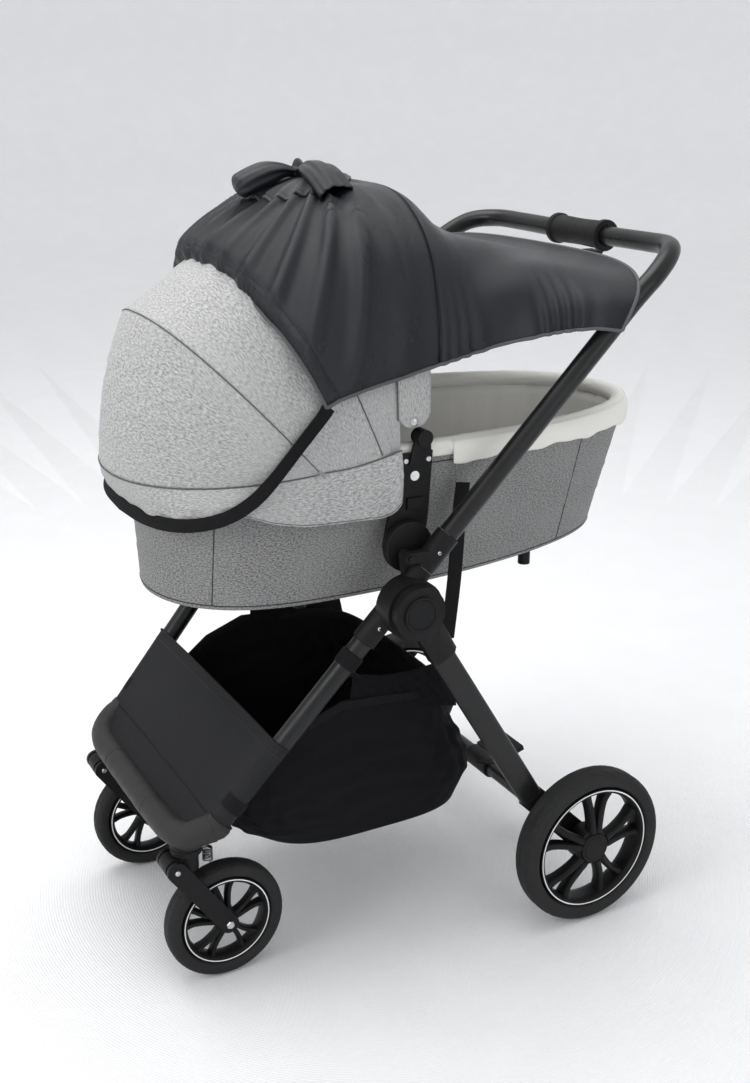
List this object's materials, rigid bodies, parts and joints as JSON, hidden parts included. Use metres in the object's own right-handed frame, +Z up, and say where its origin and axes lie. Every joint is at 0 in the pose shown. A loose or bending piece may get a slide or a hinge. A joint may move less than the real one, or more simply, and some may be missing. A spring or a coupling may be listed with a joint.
{
  "type": "baby stroller",
  "caption": "Folding pram chassis with swivel casters, a carrycot with a folding hood, a clip-on sunshade, a handle that folds forward and an under-seat basket.",
  "frame": {"origin": "on the floor under the centre of the whole object's box", "axes": "+Z up, -Y towards the small front wheels and the head end of the carrycot, +X towards the stroller's left"},
  "size_m": [0.596, 0.8, 1.037],
  "materials": {
    "tube": "satin black paint",
    "plastic": "moulded black plastic, fine grain",
    "tyre": "matte dark tread rubber",
    "steel": "zinc plated",
    "spring": "blackened spring steel",
    "wrap": "dark grey leatherette, stitched",
    "grip": "soft black grip",
    "hood_fabric": "light grey melange weave",
    "tub_fabric": "dark grey melange weave",
    "liner": "cream padded cotton",
    "shade_fabric": "smooth black stretch fabric with a light sheen",
    "basket_fabric": "black woven polyester and mesh"
  },
  "bodies": {
    "chassis": {"lower_tube_left": "tube", "lower_tube_right": "tube", "hub_housing_left": "plastic", "hub_housing_right": "plastic", "adapter_left": "plastic", "adapter_right": "plastic", "bassinet_bracket_left": "plastic", "bassinet_bracket_right": "plastic", "side_strap_left": "basket_fabric", "side_strap_right": "basket_fabric", "front_loop": "wrap", "footrest_panel": "basket_fabric", "basket": "basket_fabric", "bassinet_tub": "tub_fabric", "liner_rim": "liner", "mattress": "liner", "tub_feet_front": "plastic", "tub_feet_rear": "plastic", "hood_rear": "hood_fabric", "shade_strap": "shade_fabric"},
    "handle": {"handle_tube": "tube", "handle_grip": "grip", "handle_collar_left": "plastic", "handle_collar_right": "plastic"},
    "fold_slider": {"fold_slider": "plastic"},
    "rear_frame": {"rear_leg_left": "tube", "rear_leg_right": "tube", "leg_head_left": "plastic", "leg_head_right": "plastic", "leg_foot_left": "plastic", "leg_foot_right": "plastic", "rear_axle": "steel", "axle_tube": "tube"},
    "brake": {"brake_pedal": "plastic"},
    "hood_middle": {"hood_middle": "hood_fabric"},
    "hood_front": {"hood_front": "hood_fabric", "sunshade_hood": "shade_fabric", "sunshade_panel": "shade_fabric"},
    "caster_left": {"caster_yoke_left": "plastic", "caster_spring_left": "spring"},
    "link_left": {"caster_link_left": "plastic", "front_axle_bolt_left": "steel"},
    "front_wheel_left": {"front_wheel_tyre_left": "tyre", "front_wheel_rim_left": "plastic"},
    "rear_wheel_left": {"rear_wheel_tyre_left": "tyre", "rear_wheel_rim_left": "plastic", "rear_wheel_cap_left": "plastic"},
    "swivel_lock_left": {"swivel_lock_left": "plastic"},
    "release_button_left": {"release_button_left": "plastic"},
    "caster_right": {"caster_yoke_right": "plastic", "caster_spring_right": "spring"},
    "link_right": {"caster_link_right": "plastic", "front_axle_bolt_right": "steel"},
    "front_wheel_right": {"front_wheel_tyre_right": "tyre", "front_wheel_rim_right": "plastic"},
    "rear_wheel_right": {"rear_wheel_tyre_right": "tyre", "rear_wheel_rim_right": "plastic", "rear_wheel_cap_right": "plastic"},
    "swivel_lock_right": {"swivel_lock_right": "plastic"},
    "release_button_right": {"release_button_right": "plastic"}
  },
  "joints": [
    {"name": "handle_fold", "type": "hinge", "parent": "chassis", "child": "handle", "pos_m": [0, -0.07938, 0.58057], "axis": [1, 0, 0], "range_deg": [0, 155]},
    {"name": "rear_frame_fold", "type": "hinge", "parent": "chassis", "child": "rear_frame", "pos_m": [0, -0.082, 0.516], "axis": [1, 0, 0], "range_deg": [-46, 0]},
    {"name": "brake_press", "type": "hinge", "parent": "rear_frame", "child": "brake", "pos_m": [0, 0.193, 0.115], "axis": [1, 0, 0], "range_deg": [-20, 0], "stiffness_Nm_per_rad": 0.6, "springref_deg": 17.19},
    {"name": "fold_slider_push", "type": "slide", "parent": "handle", "child": "fold_slider", "axis": [-1, 0, 0], "range_m": [0, 0.012], "stiffness_N_per_m": 150, "springref_m": -0.006},
    {"name": "hood_fold", "type": "hinge", "parent": "chassis", "child": "hood_middle", "pos_m": [0, -0.04, 0.725], "axis": [1, 0, 0], "range_deg": [0, 27.5]},
    {"name": "hood_front_fold", "type": "hinge", "parent": "hood_middle", "child": "hood_front", "pos_m": [0, -0.04, 0.725], "axis": [1, 0, 0], "range_deg": [0, 27.5]},
    {"name": "caster_swivel_left", "type": "hinge", "parent": "chassis", "child": "caster_left", "pos_m": [0.155, -0.366, 0.196], "axis": [0, 0, 1], "continuous": true},
    {"name": "suspension_left", "type": "hinge", "parent": "caster_left", "child": "link_left", "pos_m": [0.155, -0.3865, 0.182], "axis": [1, 0, 0], "range_deg": [0, 5], "stiffness_Nm_per_rad": 14, "springref_deg": -20.05},
    {"name": "front_wheel_spin_left", "type": "hinge", "parent": "link_left", "child": "front_wheel_left", "pos_m": [0.155, -0.317, 0.083], "axis": [1, 0, 0], "continuous": true},
    {"name": "rear_wheel_spin_left", "type": "hinge", "parent": "rear_frame", "child": "rear_wheel_left", "pos_m": [0.278, 0.193, 0.115], "axis": [1, 0, 0], "continuous": true},
    {"name": "swivel_lock_lift_left", "type": "hinge", "parent": "chassis", "child": "swivel_lock_left", "pos_m": [0.155, -0.3385, 0.215], "axis": [1, 0, 0], "range_deg": [0, 30]},
    {"name": "release_press_left", "type": "slide", "parent": "chassis", "child": "release_button_left", "axis": [-1, 0, 0], "range_m": [0, 0.002], "stiffness_N_per_m": 300, "springref_m": -0.002},
    {"name": "caster_swivel_right", "type": "hinge", "parent": "chassis", "child": "caster_right", "pos_m": [-0.155, -0.366, 0.196], "axis": [0, 0, 1], "continuous": true},
    {"name": "suspension_right", "type": "hinge", "parent": "caster_right", "child": "link_right", "pos_m": [-0.155, -0.3865, 0.182], "axis": [1, 0, 0], "range_deg": [0, 5], "stiffness_Nm_per_rad": 14, "springref_deg": -20.05},
    {"name": "front_wheel_spin_right", "type": "hinge", "parent": "link_right", "child": "front_wheel_right", "pos_m": [-0.155, -0.317, 0.083], "axis": [1, 0, 0], "continuous": true},
    {"name": "rear_wheel_spin_right", "type": "hinge", "parent": "rear_frame", "child": "rear_wheel_right", "pos_m": [-0.278, 0.193, 0.115], "axis": [1, 0, 0], "continuous": true},
    {"name": "swivel_lock_lift_right", "type": "hinge", "parent": "chassis", "child": "swivel_lock_right", "pos_m": [-0.155, -0.3385, 0.215], "axis": [1, 0, 0], "range_deg": [0, 30]},
    {"name": "release_press_right", "type": "slide", "parent": "chassis", "child": "release_button_right", "axis": [1, 0, 0], "range_m": [0, 0.002], "stiffness_N_per_m": 300, "springref_m": -0.002}
  ],
  "couplings": [
    {"joint": "rear_frame_fold", "follows": "handle_fold", "ratio": -0.29},
    {"joint": "hood_front_fold", "follows": "hood_fold", "ratio": 1}
  ]
}
